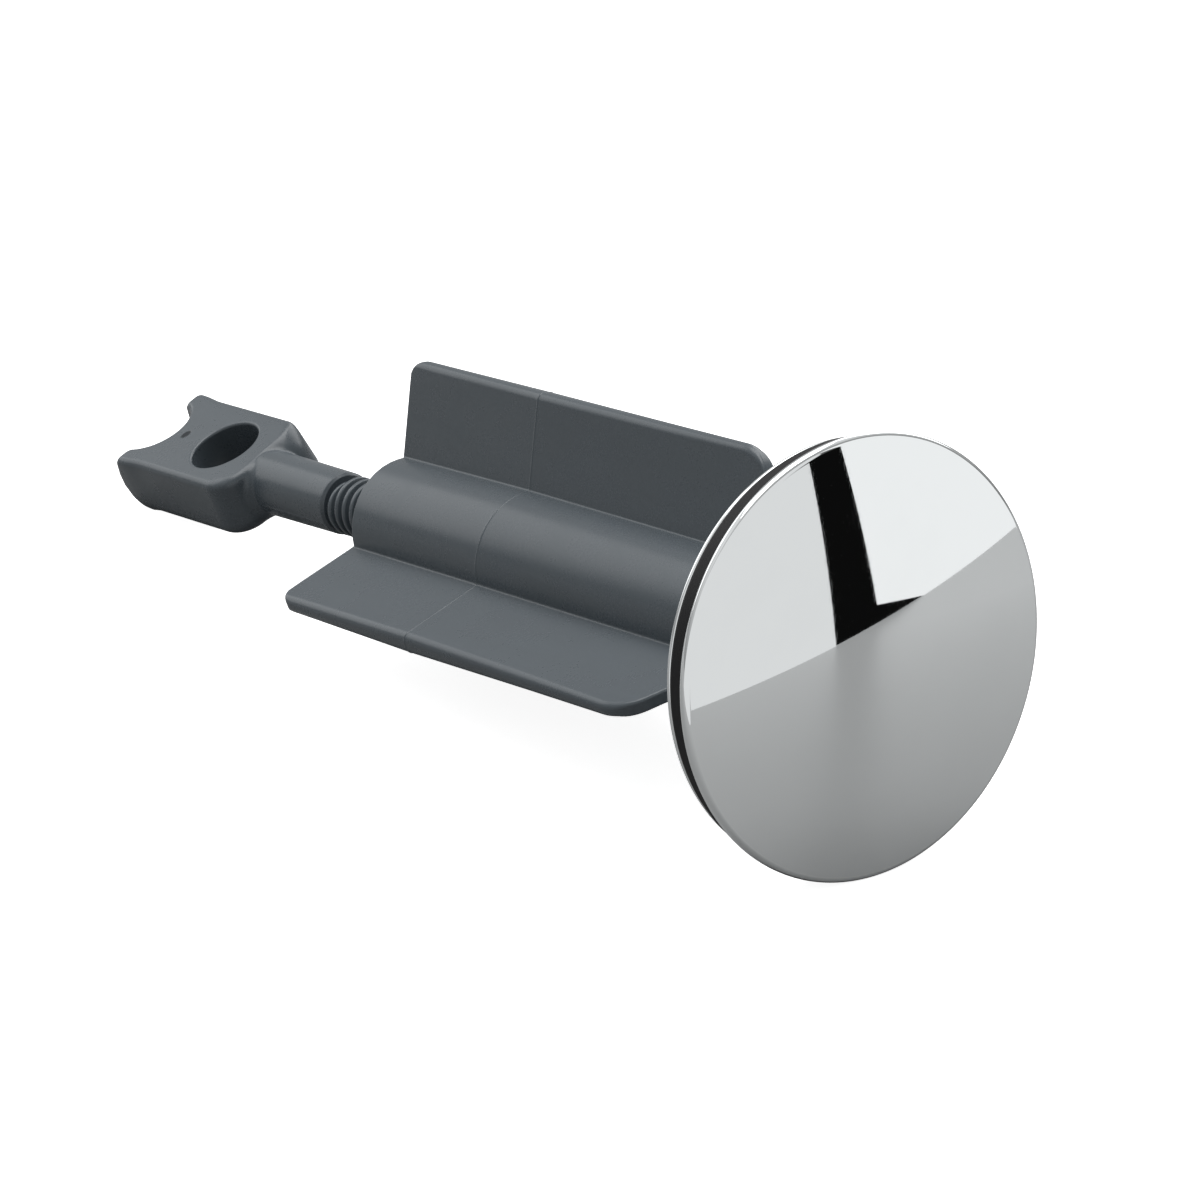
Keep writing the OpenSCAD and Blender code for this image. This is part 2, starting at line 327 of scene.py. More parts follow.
def round_either(a, b, r):
    """Distance to what lies inside either surface, with the corner between them filled by r."""
    u, v = np.maximum(r - a, 0), np.maximum(r - b, 0)
    return np.maximum(r, np.minimum(a, b)) - np.hypot(u, v)


def reach_along(inside, directions, near, far):
    """How far each ray runs before it leaves the solid, found by halving: inside(rho) is the
    distance to the surface, negative inside."""
    low, high = near + 0 * directions, far + 0 * directions
    for _ in range(40):
        mid = (low + high) / 2
        out = inside(mid) > 0
        low, high = np.where(out, low, mid), np.where(out, mid, high)
    return (low + high) / 2


def make_piece(name, grids, material, body, node):
    """Joins grids of (points, faces) into one closed mesh, laid down in the row frame. Doubled
    points are merged and the faces turned outwards."""
    points, faces, count = [], [], 0
    for grid_points, grid in grids:
        points.append(np.asarray(grid_points, float).reshape(-1, 3))
        faces.append(grid + count)
        count += len(points[-1])
    mesh = bpy.data.meshes.new(name)
    mesh.from_pydata(place(np.concatenate(points)).tolist(), [], np.concatenate(faces).tolist())
    b = bmesh.new()
    b.from_mesh(mesh)
    bmesh.ops.remove_doubles(b, verts=b.verts, dist=4e-7)
    bmesh.ops.dissolve_degenerate(b, edges=b.edges, dist=1e-8)
    loose = [v for v in b.verts if not v.link_faces]
    bmesh.ops.delete(b, geom=loose, context="VERTS")
    bmesh.ops.recalc_face_normals(b, faces=b.faces)
    b.to_mesh(mesh)
    b.free()
    mesh.shade_smooth()
    mesh.materials.append(material)
    piece = bpy.data.objects.new(name, mesh)
    bpy.context.scene.collection.objects.link(piece)
    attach(piece, body)
    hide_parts(node)


# The cap and its seal


def cap_profile(c):
    """Half section of the cap from the middle of its face to the end of its stud. The face is an
    arc of a circle through its middle and its edge, the edge is a half circle, and the rest are
    straight lines with small rounded corners."""
    radius, edge = c.diameter / 2, c.plate / 2
    face = radius - edge
    dome = (face**2 + c.rise**2) / (2 * c.rise)
    r = np.concatenate([np.linspace(0, face - 0.5, 26), face - np.array([0.3, 0.12, 0.04, 0])])
    crown = np.stack([r, c.plate + c.rise - dome + np.sqrt(dome**2 - r**2)], 1)
    a = np.radians(np.concatenate([[1.5, 5], np.arange(12, 169, 6), [175, 180]]))
    rim = np.stack([face + edge * np.sin(a), edge + edge * np.cos(a)], 1)
    back = -c.groove - c.flange_thickness
    rest = rounded(
        [
            (face - 0.06, 0, 0),
            (c.groove_floor, 0, 0.15),
            (c.groove_floor, -c.groove, 0.15),
            (c.flange / 2, -c.groove, c.flange_round),
            (c.flange / 2, back, c.flange_round),
            (c.stud / 2, back, 0.1),
            (c.stud / 2, back - c.stud_length, 0.4),
            (0, back - c.stud_length, 0),
        ]
    )
    return np.concatenate([crown, rim, rest])


def seal_profile(c):
    """Closed section of the seal: a rectangle with rounded corners."""
    out, top, low = c.diameter / 2, -c.clearance, GROOVE_WALL + c.clearance
    hole = out - c.width
    mid = hole + 1
    outer_edge = [(mid, top, 0), (out, top, c.corner), (out, low, c.corner), (mid, low, 0)]
    inner_edge = [(mid, low, 0), (hole, low, 0.1), (hole, top, 0.1), (mid, top, 0)]
    return np.concatenate([rounded(outer_edge, 6, 0.03), rounded(inner_edge, 3, 0.05)[1:-1]])


# The fin body


def fin_body_rows(c):
    """Rows of the fin body's one closed surface, from the bottom of the stem's bore, out over the
    open end, along the outside to the cap and down into the stud's socket.

    The outside is where the filleted union of two distances is zero, on rays from the axis. One
    is the tube, d = rho - R(z). The other is the fin, with rounded edges: d = |y| - half(z) across
    it, and the distance to its outline in the plane of the radius and the axis. R and half shrink
    by tan(draft) away from the parting line and swell in a fine ridge on it. The rays point at
    the fin's tip, its rounded edge, its side, its root and the tube between the fins, so the
    columns of the grid follow these features at every height."""
    back, end = CAP_BACK, CAP_BACK - c.length
    line = end + c.parting
    outer, shoulder = c.fins / 2, end + c.straight
    cs, sn, slope = np.cos(c.slant), np.sin(c.slant), np.tan(c.draft)
    run = c.shoulder * np.tan((np.pi / 2 - c.slant) / 2)
    centre_z, centre_x = shoulder - run, outer - c.shoulder
    top = shoulder + (outer - c.tube / 2) * np.tan(c.slant)
    # Heights of the rows
    near_end = end + np.array([0, 0.003, 0.012, 0.03, 0.06, 0.1, 0.15, 0.2, 0.27, 0.35, 0.42])
    corner = end + c.corner * (1 - np.cos(np.radians(np.arange(42, 91, 8))))
    low = np.linspace(end + c.corner + 0.2, line - 1.2, 7)
    ridge = line + np.array([-0.5, -0.2, -0.13, -0.09, -0.05, 0, 0.05, 0.09, 0.13, 0.2, 0.5])
    high = np.linspace(line + 1.2, centre_z - 0.3, 9)
    arc = centre_z + c.shoulder * np.sin(np.radians(np.arange(0, 67, 5.5)))
    slanted = np.arange(centre_z + c.shoulder * cs + 0.06, top + 0.75, 0.07)
    bare = top + np.array([0.9, 1.3, 2.0])
    near_cap = back - np.array([4.35, 2.35, 0.75, 0.45, 0.3, 0.22, 0.15, 0.09, 0.04, 0.01])
    z = np.concatenate([near_end, corner, low, ridge, high, arc, slanted, bare, near_cap])[:, None]
    # What the two mould halves leave at each height
    bump = c.flash * np.exp(-(((z - line) / 0.075) ** 2))
    from_end, from_cap = z - end, back - z

    def end_round(r, d):
        """How far a round of radius r stands back at a distance d from the end."""
        return r - np.sqrt(r**2 - (r - np.minimum(d, r)) ** 2)

    tube = c.tube / 2 - np.abs(z - line) * slope + bump
    tube = tube - end_round(c.tube_end, from_end) - end_round(c.cap_end, from_cap)
    half = c.fin / 2 - np.abs(z - line) * slope + bump - end_round(c.end_edge, from_end)
    edge = c.end_edge + (c.edge - c.end_edge) * smoothstep(from_end / c.corner)
    edge = edge + (c.slant_edge - c.edge) * smoothstep((z - centre_z - 0.5) / (shoulder - centre_z))
    edge = np.minimum(edge, np.minimum(half - 0.03, np.maximum(from_end, 1e-3)))

    def outline(x):
        """Distance at radius x to the fin's outline: its outer line, open end, slant and corners."""
        slant = (z - shoulder) * cs + (x - outer) * sn
        plain = np.maximum.reduce([x - outer, end - z + 0 * x, slant])
        low_corner = np.hypot(x - outer + c.corner, z - end - c.corner) - c.corner
        wedge = np.hypot(x - centre_x, z - centre_z) - c.shoulder
        in_low = (x > outer - c.corner) & (z < end + c.corner)
        turn = np.arctan2(z - centre_z, x - centre_x)
        in_wedge = (turn > 0) & (turn < np.pi / 2 - c.slant) & (x > centre_x)
        return np.where(in_low, low_corner, np.where(in_wedge, wedge, plain)) - bump

    # How far the fin reaches at each height, and the rays that go with it
    along = reach_along(outline, 0 * z, 1.0, 20.0)
    root_x = np.sqrt((tube + c.root) ** 2 - (half + c.root) ** 2)
    tip = np.maximum(along, root_x + edge + 0.15)
    flat = np.array([0, 0.45, 0.85, 1.0])
    turn = np.radians(np.arange(15, 91, 15))
    way = np.array([0.012, 0.08, 0.25, 0.5, 0.75, 0.92, 0.985])
    root_turn = np.arctan2(half + c.root, root_x)
    arcs = np.linspace(0, 1, 6)
    fall = -np.pi / 2 - arcs * (np.pi / 2 - root_turn)
    ring = root_turn + (np.pi / 3 - root_turn) * np.array([0.03, 0.12, 0.27, 0.45, 0.63, 0.82, 1.0])
    x = np.concatenate(
        [
            tip + 0 * flat,
            tip - edge + edge * np.cos(turn),
            tip - edge + (root_x - tip + edge) * way,
            root_x + c.root * np.cos(fall),
            tube * np.cos(ring),
        ],
        1,
    )
    y = np.concatenate(
        [
            (half - edge) * flat,
            half - edge + edge * np.sin(turn),
            half + 0 * way,
            half + c.root + c.root * np.sin(fall),
            tube * np.sin(ring),
        ],
        1,
    )
    ray = np.maximum.accumulate(np.arctan2(y, x), 1) + 1e-7 * np.arange(x.shape[1])
    ray[:, -1] = np.pi / 3

    def solid(rho):
        """Distance to the filleted union of tube and fin at rho along each ray."""
        fx, fy = rho * np.cos(ray), rho * np.sin(ray)
        fin = round_both(fy - half, outline(fx), edge)
        return round_either(rho - tube, fin, np.minimum(c.root, from_end + from_cap))

    rho = reach_along(solid, ray, 3.0, 20.0)
    # Both sides of the fin, three fins
    both = np.concatenate([-ray[:, ::-1], ray[:, 1:-1]], 1)
    rho = np.concatenate([rho[:, ::-1], rho[:, 1:-1]], 1)
    around = np.concatenate([both + np.pi / 2 + k * 2 * np.pi / 3 for k in range(3)], 1)
    rho = np.concatenate([rho] * 3, 1)
    outside = about_axis(rho, around, z)

    def between(edge_row, r, height):
        """Flat face between a circle of radius r and a row of the outside, in three rows."""
        first = np.hypot(edge_row[:, 0], edge_row[:, 1])
        turns = np.arctan2(edge_row[:, 1], edge_row[:, 0])
        return about_axis(np.array([r + 0.04 + 0 * first, (r + first) / 2, first - 0.04]), turns, height)

    bore, socket, past = c.bore / 2, c.socket / 2, 12
    floor, deep = end + c.bore_depth, back - c.socket_depth
    stem_bore = [(0, floor, 0), (bore, floor, 0.15), (bore, end, c.mouth), (past, end, 0)]
    stud_bore = [(past, back, 0), (socket, back, 0.12), (socket, deep, 0.15), (0, deep, 0)]
    return np.concatenate(
        [
            turned(rounded(stem_bore, 5, 0.05)[:-1], around[:1]),
            between(outside[0], bore + c.mouth + 0.05, end),
            outside,
            between(outside[-1], socket + 0.17, back)[::-1],
            turned(rounded(stud_bore, 3, 0.05)[1:], around[-1:]),
        ]
    )


# The screw stem with its eye


def eye_outline(c, cut):
    """Outline of the eye from the cut across its shoulder round one side, a tip and the notch to
    the other side, as points (w, s), outward normals and the widths and depths of the elliptic
    round of the edge. It is made of tangent arcs and lines: the shoulder, the side, the tip's flat
    end between two round corners, and the notch."""
    wide, shoulder_z = c.eye_width / 2, OPEN_END - c.out
    hole_z = shoulder_z - c.hole_depth
    notch_z, notch = hole_z - c.notch_pitch, c.notch / 2
    tip = c.tip_corner
    tip_s = notch_z - c.tip_reach + tip
    inner_w = np.sqrt((notch + tip) ** 2 - (tip_s - notch_z) ** 2)
    touch = np.arctan2(tip_s - notch_z, inner_w)

    def arc(w, s, r, a):
        """Points on a circle of radius r about (w, s) at the turns a, and their normals."""
        d = np.stack([np.cos(a), np.sin(a)], 1)
        return np.array([w, s]) + r * d, d

    centre_s = shoulder_z - c.shoulder
    first = np.arcsin((cut - centre_s) / c.shoulder)
    p1, n1 = arc(wide - c.shoulder, centre_s, c.shoulder, np.linspace(first, 0, 4))
    side_s = np.linspace(centre_s, tip_s, 18)[1:-1]
    p2 = np.stack([wide + 0 * side_s, side_s], 1)
    n2 = np.tile([1.0, 0.0], (len(side_s), 1))
    p3, n3 = arc(wide - tip, tip_s, tip, -np.linspace(0, np.pi / 2, 9))
    p5, n5 = arc(inner_w, tip_s, tip, -np.linspace(np.pi / 2, np.pi - touch, 9))
    p4, n4 = arc(0, notch_z, notch, np.linspace(touch, np.pi / 2, 15)[1:])
    points = np.concatenate([p1, p2, p3, (p3[-1:] + p5[:1]) / 2, p5, p4])
    normals = np.concatenate([n1, n2, n3, n3[-1:], n5, -n4])
    down = smoothstep((notch_z + 4.2 - points[:, 1]) / 3.0)[:, None]
    climb = smoothstep((np.arange(len(points)) - (len(points) - len(p4) - 6)) / 10)[:, None]
    # Width, upper depth, lower width, lower depth and lean of the edge
    side = np.array([c.eye_edge, c.eye_edge, c.under_width, c.eye_under, c.eye_draft])
    tips = np.array([c.tip_edge, c.tip_edge, c.tip_edge, c.tip_under, c.eye_draft * 0.4])
    bay = np.array([c.notch_edge, c.notch_edge, c.notch_edge, c.notch_edge, 0])
    edges = side + (tips - side) * down
    edges = edges + (bay - edges) * climb
    flip = np.array([-1.0, 1.0])
    return (
        np.concatenate([points, points[-2::-1] * flip]),
        np.concatenate([normals, normals[-2::-1] * flip]),
        np.concatenate([edges, edges[-2::-1]]),
        hole_z,
    )


def eye_grid(c, cut):
    """The eye's points (w, s, t) and faces, and the ring of points left open at its shoulder.

    The eye is a profile carried round its hole: up the hole's wall, over its rounded rim, out
    over the face, round the edge and down the outer wall, and back below. Its columns run from
    the hole's rim to the inset outline."""
    thick = c.eye_thickness / 2
    points, normals, edges, hole_z = eye_outline(c, cut)
    bottom = -c.eye_parting

    def edge_row(q, m, e, turn, upper):
        """Points of the rounded edge at one turn, from 0 on the face to a quarter on the wall:
        inset = lean (t - parting) + width (1 - sin turn), t = thickness - depth (1 - cos turn)."""
        width, depth = (e[:, 0], e[:, 1]) if upper else (e[:, 2], e[:, 3])
        t = thick - depth * (1 - np.cos(turn))
        lean = e[:, 4] * (t - bottom) if upper else 0 * t
        return q - m * (lean + width * (1 - np.sin(turn)))[:, None], t

    inset = edge_row(points, normals, edges, 0, True)[0]
    under = edge_row(points, normals, edges, 0, False)[0]
    # Columns across the cut, between its two ends
    n_cut = 24
    across = np.linspace(inset[-1], inset[0], n_cut + 2)[1:-1]
    inset = np.concatenate([inset, across])
    across_under = np.linspace(under[-1], under[0], n_cut + 2)[1:-1]
    under = np.concatenate([under, across_under])
    points = np.concatenate([points, across])
    normals = np.concatenate([normals, 0 * across])
    edges = np.concatenate([edges, np.ones((n_cut, 5))])
    n = len(inset)
    # The columns leave the hole's rim at angles that follow their way round the outline
    steps = np.linalg.norm(np.roll(points, -1, 0) - points, axis=1)
    way = np.concatenate([[0], np.cumsum(steps)[:-1]]) + np.sum(steps[-n_cut - 1 :]) / 2
    rim_turn = np.pi / 2 - 2 * np.pi * way / np.sum(steps)
    ways = np.stack([np.cos(rim_turn), np.sin(rim_turn)], 1)
    hole, rim = c.hole / 2, c.hole_edge
    a = np.radians(np.linspace(0, 90, 6))
    r = np.array([hole, hole, *(hole + rim * (1 - np.cos(a))), hole + rim + 0.05])
    t = np.array([0, thick - rim - 0.06, *(thick - rim * (1 - np.sin(a))), thick])
    start = ways * r[-1] + [0, hole_z]
    quarter = np.radians(np.linspace(0, 90, 10))

    def side_rows(outer, upper):
        """Rows from the middle of the hole's wall out over one face to the eye's wall."""
        rows = [(ways * rr + [0, hole_z], tt) for rr, tt in zip(r, t)]
        gap = np.linalg.norm(outer - start, axis=1)[:, None]
        rows += [(start + (outer - start) * s, thick) for s in (0.35, 0.7)]
        rows += [(outer + (start - outer) * np.minimum(0.06 / gap, 0.25), thick)]
        rows += [(outer, thick)]
        rows += [edge_row(points, normals, edges, k, upper) for k in quarter[1:]]
        return np.array([np.column_stack([p, np.broadcast_to(tt, n)]) for p, tt in rows])

    upper, lower = side_rows(inset, True), side_rows(under, False) * [1, 1, -1]
    belt = np.column_stack([points, np.full(n, bottom)])[None]
    half = np.concatenate([upper, (2 * upper[-1:] + belt) / 3, (upper[-1:] + 2 * belt) / 3, belt])
    first_edge = len(upper) - len(quarter)
    eye = np.concatenate([half, lower[:0:-1]])
    # The tips' end bows back below: s grows by bow (1 - t)^2, faded out towards the hole
    fade = smoothstep((hole_z - 5.5 - eye[..., 1]) / 7)
    eye[..., 1] += c.tip_bow * np.maximum(1 - eye[..., 2], 0) ** 2 * fade
    # The tips' ends crown out by crown (1 - (t / thickness)^2), and their lower half thins
    past = hole_z - c.notch_pitch - eye[..., 1]
    eye[..., 1] -= c.tip_crown * (1 - (eye[..., 2] / thick) ** 2) * smoothstep((past + 2) / 2)
    eye[..., 2] *= 1 - c.tip_rise * smoothstep((past + 4.2) / 4.5) * (eye[..., 2] < 0)
    count = len(eye)
    last_edge = len(half) + len(quarter) - 1
    faces = grid_faces(count, n, closed=True)
    # Faces of the columns across the cut, from the face's edge down to the other face's edge
    row, col = faces[:, 0] // n, faces[:, 0] % n
    open_cols = col >= n - n_cut - 1
    faces = faces[~(open_cols & (row >= first_edge) & (row < last_edge))]
    # The ring left open: up the first column, across, down the last column, back across below
    ring = [
        eye[np.arange(len(half) - 1, first_edge - 1, -1), 0],
        eye[first_edge, np.arange(n - 1, n - n_cut - 1, -1)],
        eye[np.arange(first_edge, last_edge + 1), n - n_cut - 1],
        eye[last_edge, np.arange(n - n_cut, n)],
        eye[np.arange(last_edge, len(half) - 1, -1), 0],
    ]
    return eye, faces, np.concatenate(ring)


def neck_grid(c, ring, cut):
    """The neck and the thread's core, carried on along the axis from the eye's open ring.

    At each height the ring's points lie where rays from the axis leave the filleted union of the
    plate, with its rounded edges, and the neck. Over the first few rows the rays turn from the
    ring's own directions to even ones, closer together along the neck's two parting lines."""
    thick, wide, shoulder_z = c.eye_thickness / 2, c.eye_width / 2, OPEN_END - c.out
    bottom, neck, start_z = -c.eye_parting, c.neck / 2, OPEN_END - c.thread_start
    low_ratio = c.under_width / c.eye_under

    def solid(rho, turn, s):
        """Distance to the filleted union of plate and neck at rho along each ray."""
        w, t = rho * np.cos(turn), rho * np.sin(turn)
        aw, far = np.abs(w), smoothstep((w + 2) / 4)
        r, centre = c.shoulder + c.shoulder_skew * (2 * far - 1), shoulder_z - c.shoulder
        arc = np.hypot(aw - wide + r, s - centre) - r
        line = np.where((aw > wide - r) & (s > centre), arc, np.maximum(aw - wide, s - centre - r))
        soft = far * smoothstep((s - cut) / 2.5)
        width = c.eye_edge + (c.shoulder_edge - c.eye_edge) * soft
        depth = c.eye_edge + (c.shoulder_drop - c.eye_edge) * soft
        above = round_both((t - thick) * width / depth, line + c.eye_draft * (t - bottom), width)
        plate = np.where(t > bottom, above, round_both((-t - thick) * low_ratio, line, c.under_width))
        swell = c.neck_flare * np.clip((start_z - s) / (start_z - shoulder_z), 0, 1)
        stem = rho - (neck + swell) + 0.3 * smoothstep((shoulder_z - 2.2 - s) / 1.2)
        fill = c.fillet + (c.small_fillet - c.fillet) * far
        fill = fill * smoothstep((s - cut) / 1.5) * smoothstep(np.abs(np.cos(turn)) * 1.6 - 0.1)
        return round_either(plate, stem, fill + 1e-6)

    w0, s0, t0 = ring.T
    turn0 = np.unwrap(np.arctan2(t0, w0))
    k = np.arange(len(ring)) / len(ring)
    even = 2 * np.pi * (k - 0.85 * np.sin(4 * np.pi * k) / (4 * np.pi)) + c.flash_turn
    # Heights of the rows, close together over the shoulder
    heights = np.concatenate(
        [
            np.linspace(cut, shoulder_z - 2.0, 6)[1:],
            np.arange(shoulder_z - 1.9, shoulder_z + 1.3, 0.07),
            np.linspace(shoulder_z + 1.5, start_z - 0.5, 8),
            [start_z - 0.32],
        ]
    )[:, None]
    mix = smoothstep((heights - cut) / (shoulder_z + 1.2 - cut))
    turns = turn0 * (1 - mix) + even * mix
    s = s0 * (1 - np.minimum(1, mix * 3)) + heights * np.minimum(1, mix * 3)
    s = np.maximum(s, s0 + 0.02 * (heights - cut))
    rho = reach_along(lambda rho: solid(rho, turns, s), turns, 0.5, 12.0)
    seam = np.minimum(np.abs((turns - c.flash_turn + np.pi / 2) % np.pi - np.pi / 2) * rho, 1.0)
    rho = rho + c.flash * np.exp(-((seam / 0.085) ** 2)) * smoothstep((s - shoulder_z + 0.6) / 1.2)
    neck_rows = about_axis(rho, turns, s)
    core, top = c.core / 2, OPEN_END + c.top
    tail = rounded(
        [
            (neck, start_z - 0.5, 0),
            (neck, start_z - 0.26, 0.05),
            (neck - 0.26, start_z, 0.08),
            (core, start_z + 0.02, 0.05),
            (core, top, 0.5),
            (0, top, 0),
        ],
        4,
        0.03,
    )[1:]
    rows = np.concatenate([neck_rows, turned(tail, even)])[..., [0, 2, 1]]
    return np.concatenate([ring[None], rows])


def thread_grid(c):
    """The thread: a rounded ridge carried along a right-hand helix and thinner at both ends, where
    its section is closed in one point. Its last two points lie under the core's surface."""
    core, per_turn = c.core / 2, 60
    begin, finish = OPEN_END - c.thread_start + 0.5, OPEN_END + c.top - 0.5
    z = np.linspace(begin, finish, int((finish - begin) / c.pitch * per_turn))[:, None]
    ends = smoothstep((z - begin) / 0.5) * smoothstep((finish - z) / 0.8)
    half_z = np.array([0.15, 0.24, 0.29, 0.36, 0.42])
    half_rise = np.array([1, 0.95, 0.78, 0.1, 0])
    across_z = np.concatenate([-half_z[::-1], half_z, [0.26, -0.26]])
    height = np.concatenate([half_rise[::-1], half_rise, [-0.4, -0.4]])
    r = core - 0.02 + (c.crest / 2 - core) * height * np.where(height > 0, ends, 1.0)
    s = z + across_z * (0.35 + 0.65 * ends)
    turns = c.crest_angle - EYE_TURN + (z - OPEN_END + c.crest_out) / c.pitch * 2 * np.pi
    thread = about_axis(r, turns, s)[..., [0, 2, 1]]
    tips = [np.repeat(thread[k : k + 1].mean(1, keepdims=True), len(height), 1) for k in (0, len(z) - 1)]
    return np.concatenate([tips[0], thread, tips[1]])


def stem_grids(c):
    """The eye, the neck with the thread's core, and the thread. The first two meet in the ring of
    points left open across the eye's shoulder and make one closed surface."""
    cut = OPEN_END - c.out - c.shoulder + 0.3
    eye, faces, ring = eye_grid(c, cut)
    neck, thread = neck_grid(c, ring, cut), thread_grid(c)
    return [
        (from_eye(eye), faces),
        (from_eye(neck), grid_faces(*neck.shape[:2])),
        (from_eye(thread), grid_faces(*thread.shape[:2])),
    ]


# Materials


class Wires:
    """Adds nodes to a tree and links their sockets by name."""

    def __init__(self, tree):
        self.tree = tree

    def feed(self, node, inputs):
        """Gives a node's inputs their values, or links from the sockets that stand for them."""
        for key, value in inputs.items():
            socket = node.inputs[key]
            if isinstance(value, bpy.types.NodeSocket):
                self.tree.links.new(value, socket)
            else:
                socket.default_value = value
        return node

    def add(self, kind, inputs=None, **settings):
        node = self.tree.nodes.new(kind)
        for key, value in settings.items():
            setattr(node, key, value)
        return self.feed(node, inputs or {})

    def math(self, operation, a, b=0.5):
        return self.add("ShaderNodeMath", {0: a, 1: b}, operation=operation).outputs[0]

    def noise(self, vector, scale, detail=3.0, roughness=0.55):
        inputs = {"Vector": vector, "Scale": scale, "Detail": detail, "Roughness": roughness}
        return self.add("ShaderNodeTexNoise", inputs).outputs["Fac"]

    def span(self, value, low, high, to_low, to_high):
        ends = {"From Min": low, "From Max": high, "To Min": to_low, "To Max": to_high}
        return self.add("ShaderNodeMapRange", {"Value": value, **ends}).outputs["Result"]

    def shared(self, name, build, inputs):
        """The outputs of a node group that is built once and then shared."""
        tree = bpy.data.node_groups.get(name) or build()
        return self.add("ShaderNodeGroup", inputs, node_tree=tree).outputs

    def bump(self, height, strength, distance):
        inputs = {"Height": height, "Strength": strength, "Distance": distance}
        return self.add("ShaderNodeBump", inputs).outputs[0]

    def more(self, base, value, factor):
        """base + value * factor"""
        return self.math("ADD", self.math("MULTIPLY", value, factor), base)

    def mix(self, factor, a, b):
        return self.add("ShaderNodeMix", {0: factor, 6: a, 7: b}, data_type="RGBA").outputs[2]


def group(name, values, outputs):
    """An empty shader node group with a vector and numbers in, and numbers out."""
    g = bpy.data.node_groups.new(name, "ShaderNodeTree")
    g.interface.new_socket("Vector", in_out="INPUT", socket_type="NodeSocketVector")
    for label, value in values.items():
        s = g.interface.new_socket(label, in_out="INPUT", socket_type="NodeSocketFloat")
        s.default_value = value
    for label in outputs:
        g.interface.new_socket(label, in_out="OUTPUT", socket_type="NodeSocketFloat")
    return g, Wires(g), g.nodes.new("NodeGroupInput").outputs, g.nodes.new("NodeGroupOutput")


def grain_group():
    """Fine moulded or rubbed grain: a colour shade about 1, a roughness shift and a height."""
    sizes = {"Grain size": 4.0, "Cloud size": 0.12, "Shade depth": 0.05}
    g, w, given, out = group("Fine grain", sizes, ["Shade", "Rough", "Height"])
    fine = w.noise(given["Vector"], given["Grain size"], 2.0)
    cloud = w.noise(given["Vector"], given["Cloud size"], 4.0)
    speck = w.noise(given["Vector"], 11.0, 1.0)
    both = w.math("ADD", w.math("MULTIPLY", cloud, 0.7), w.math("MULTIPLY", fine, 0.3))
    about = w.math("SUBTRACT", both, 0.5)
    shade = w.math("ADD", w.math("MULTIPLY", about, given["Shade depth"]), 1.0)
    height = w.math("ADD", w.math("MULTIPLY", fine, 0.7), w.math("MULTIPLY", speck, 0.3))
    w.feed(out, {"Shade": shade, "Rough": about, "Height": height})
    return g


def handling_group():
    """Marks of use: soft smudges, and a net of hairline scratches in all directions."""
    g, w, given, out = group("Handling marks", {"Smudge size": 0.2}, ["Smudge", "Scratch"])
    smudge = w.span(w.noise(given["Vector"], given["Smudge size"], 5.0, 0.6), 0.48, 0.72, 0.0, 1.0)
    scratch = 0.0
    for turn, size in ((0.4, 1.0), (2.1, 1.3), (3.9, 0.8)):
        way = (turn * 0.7, turn, turn * 1.9)
        scale = (3.2 * size, 0.05 * size, 3.2 * size)
        inputs = {"Vector": given["Vector"], "Rotation": way, "Scale": scale}
        n = w.noise(w.add("ShaderNodeMapping", inputs).outputs[0], 1.0, 1.0)
        line = w.span(w.math("ABSOLUTE", w.math("SUBTRACT", n, 0.5)), 0.0, 0.006, 1.0, 0.0)
        scratch = w.math("MAXIMUM", scratch, line)
    w.feed(out, {"Smudge": smudge, "Scratch": scratch})
    return g


def start_material(name):
    """An empty material with its Principled shader and coordinates in the stopper's own
    millimetres: a Mapping node takes Object coordinates back along the lie of the stopper."""
    m = bpy.data.materials.new(name)
    m.use_nodes = True
    tree = m.node_tree
    tree.nodes.clear()
    w = Wires(tree)
    out = w.add("ShaderNodeOutputMaterial")
    shader = w.add("ShaderNodeBsdfPrincipled")
    tree.links.new(shader.outputs[0], out.inputs[0])
    lie = {
        "Vector": w.add("ShaderNodeTexCoord").outputs["Object"],
        "Location": tuple(ORIGIN / 1000),
        "Rotation": tuple(Matrix(LAY.T.tolist()).to_euler()),
        "Scale": (0.001, 0.001, 0.001),
    }
    return m, w, shader, w.add("ShaderNodeMapping", lie, vector_type="TEXTURE").outputs[0]


def rgba(c):
    return (*c, 1.0)


def chrome(c):
    """Bright chrome: faint turning lines round the axis, soft smudges and hairlines in the gloss."""
    m, w, shader, own = start_material("Chrome plating")
    marks = w.shared("Handling marks", handling_group, {"Vector": own, "Smudge size": 0.11})
    parts = w.add("ShaderNodeSeparateXYZ", {0: own})
    flat = w.add("ShaderNodeCombineXYZ", {"X": parts.outputs[0], "Y": parts.outputs[1]})
    radius = w.add("ShaderNodeVectorMath", {0: flat.outputs[0]}, operation="LENGTH").outputs["Value"]
    rings = w.noise(w.add("ShaderNodeCombineXYZ", {"X": radius}).outputs[0], 7.0, 3.0)
    rough = w.more(w.more(c.gloss, marks["Smudge"], c.smudge), marks["Scratch"], c.scratch)
    tint = w.mix(marks["Smudge"], rgba(c.metal), rgba([v * 0.985 for v in c.metal]))
    relief = w.bump(w.more(rings, marks["Scratch"], -0.6), 0.1, 3e-7)
    w.feed(shader, {"Base Color": tint, "Metallic": 1.0, "Roughness": rough, "Normal": relief})
    return m


